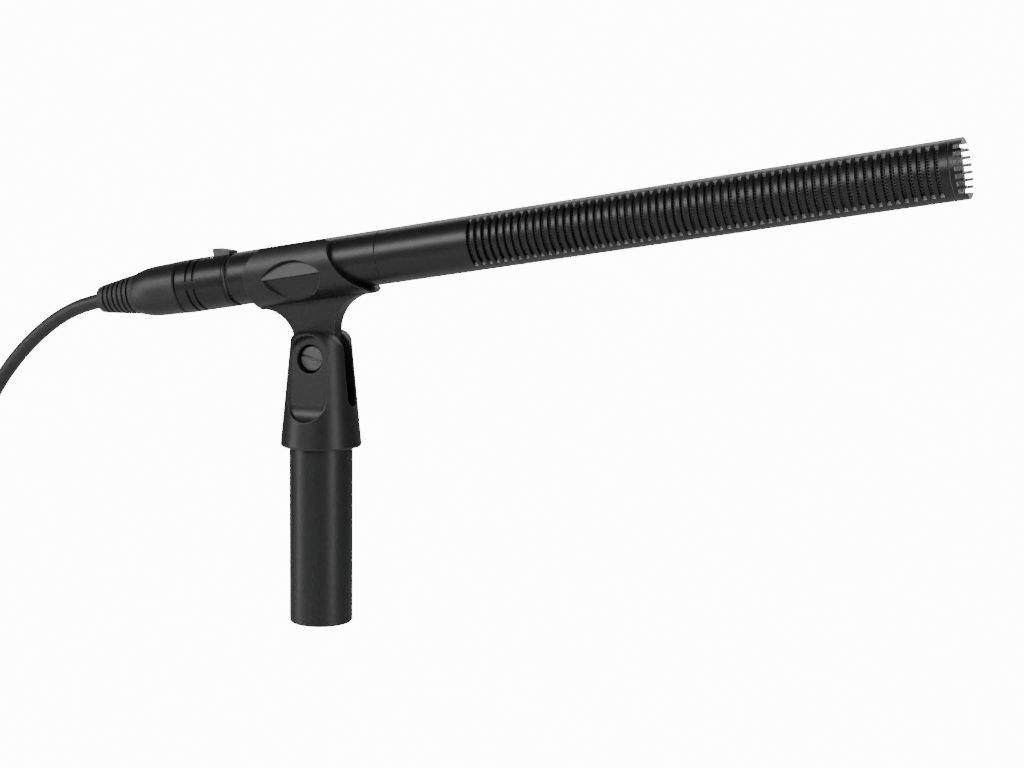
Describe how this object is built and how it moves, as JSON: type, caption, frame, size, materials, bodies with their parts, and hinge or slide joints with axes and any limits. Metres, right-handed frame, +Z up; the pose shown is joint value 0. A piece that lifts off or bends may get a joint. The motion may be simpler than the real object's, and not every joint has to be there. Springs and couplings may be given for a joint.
{
  "type": "short shotgun microphone in a swivel clip",
  "caption": "Slim end-address microphone with a slotted tube, held by a tilting snap-in clip on a short threaded stand tube, with its cable plugged in.",
  "frame": {"origin": "centre of the mouth of the threaded socket in the stand tube's lower end", "axes": "+Z up along the stand tube, +X the way the microphone's nose points, seen from above; the clip's pivot runs along Y, its screw head on the -Y side"},
  "size_m": [0.4572, 0.0356, 0.2913],
  "materials": {
    "mic_black": "fine matt black anodised, satin",
    "mesh_black": "black coated perforated sheet",
    "capsule_metal": "turned, satin",
    "capsule_gold": "gold plated",
    "capsule_plastic": "moulded insulator",
    "seal_rubber": "soft black rubber",
    "board_green": "solder mask",
    "board_frame": "moulded black",
    "chip_black": "moulded",
    "capacitor_case": "bright can",
    "contact_gold": "gold plated",
    "small_steel": "zinc plated",
    "plug_black": "satin black plated die casting",
    "latch_grey": "bead blasted nickel",
    "collar_black": "moulded satin black",
    "chuck_plastic": "moulded",
    "boot_rubber": "moulded matt rubber",
    "clip_plastic": "fine grained black nylon",
    "washer_nylon": "natural nylon",
    "brass": "turned",
    "screw_black": "black zinc plated",
    "stand_black": "satin black powder coat",
    "stand_steel": "turned, bright zinc",
    "cable_black": "matt flexible sheath",
    "tie_fabric": "hook and loop tape"
  },
  "bodies": {
    "stand": {"stand_tube": "stand_black", "tube_stud": "stand_steel", "tube_socket": "stand_steel"},
    "fork": {"clip_fork": "clip_plastic", "thread_insert": "brass", "pivot_nut": "small_steel", "screw_washer": "small_steel", "friction_washers": "washer_nylon"},
    "screw": {"pivot_screw": "screw_black"},
    "holder": {"clip_holder": "clip_plastic"},
    "microphone": {"rear_body": "mic_black", "slotted_tube": "mic_black", "tube_mesh": "mesh_black", "nose_ring": "mic_black", "nose_mesh": "mesh_black", "socket_insert": "board_frame", "socket_pin_1": "contact_gold", "socket_pin_2": "contact_gold", "socket_pin_3": "contact_gold", "socket_screw": "small_steel", "capsule_can": "capsule_metal", "diaphragm_ring": "capsule_metal", "diaphragm": "capsule_gold", "diaphragm_spacer": "capsule_plastic", "backplate": "capsule_gold", "capsule_insulator": "capsule_plastic", "capsule_contact": "capsule_gold", "rear_gasket": "seal_rubber", "front_gasket": "seal_rubber", "circuit_board": "board_green", "board_bulkheads": "board_frame", "board_chips": "chip_black", "board_capacitors": "capacitor_case", "board_resistors": "chip_black"},
    "plug": {"plug_shell": "plug_black", "plug_gasket": "seal_rubber", "plug_insert": "board_frame", "plug_contacts": "contact_gold", "latch_pin": "small_steel", "latch_spring": "small_steel", "plug_chuck": "chuck_plastic", "plug_collar": "collar_black", "plug_boot": "boot_rubber", "cable_tube": "cable_black", "cable_coil": "cable_black", "cable_tail": "cable_black", "cable_tie": "tie_fabric", "line_boot": "boot_rubber", "line_collar": "collar_black", "line_shell": "plug_black", "line_insert": "board_frame", "line_pins": "contact_gold", "line_chuck": "chuck_plastic"},
    "latch": {"latch_lever": "latch_grey"}
  },
  "joints": [
    {"name": "fork_swivel", "type": "hinge", "parent": "stand", "child": "fork", "pos_m": [0, 0, 0.0635], "axis": [0, 0, 1], "range_deg": [-180, 180]},
    {"name": "screw_turn", "type": "hinge", "parent": "fork", "child": "screw", "pos_m": [0, 0, 0.095], "axis": [0, -1, 0], "range_deg": [-30, 330]},
    {"name": "clip_tilt", "type": "hinge", "parent": "fork", "child": "holder", "pos_m": [0, 0, 0.095], "axis": [0, -1, 0], "range_deg": [-85, 70]},
    {"name": "microphone_slide", "type": "slide", "parent": "holder", "child": "microphone", "axis": [0.9864, 0, 0.1644], "range_m": [-0.03, 0.004]},
    {"name": "plug_pull", "type": "slide", "parent": "microphone", "child": "plug", "axis": [-0.9864, 0, -0.1644], "range_m": [0, 0.016]},
    {"name": "latch_press", "type": "hinge", "parent": "plug", "child": "latch", "pos_m": [-0.04243, 0, 0.12879], "axis": [0, 1, 0], "range_deg": [0, 3], "stiffness_Nm_per_rad": 0.05, "springref_deg": -1.72, "deforming": ["latch_spring"]}
  ]
}
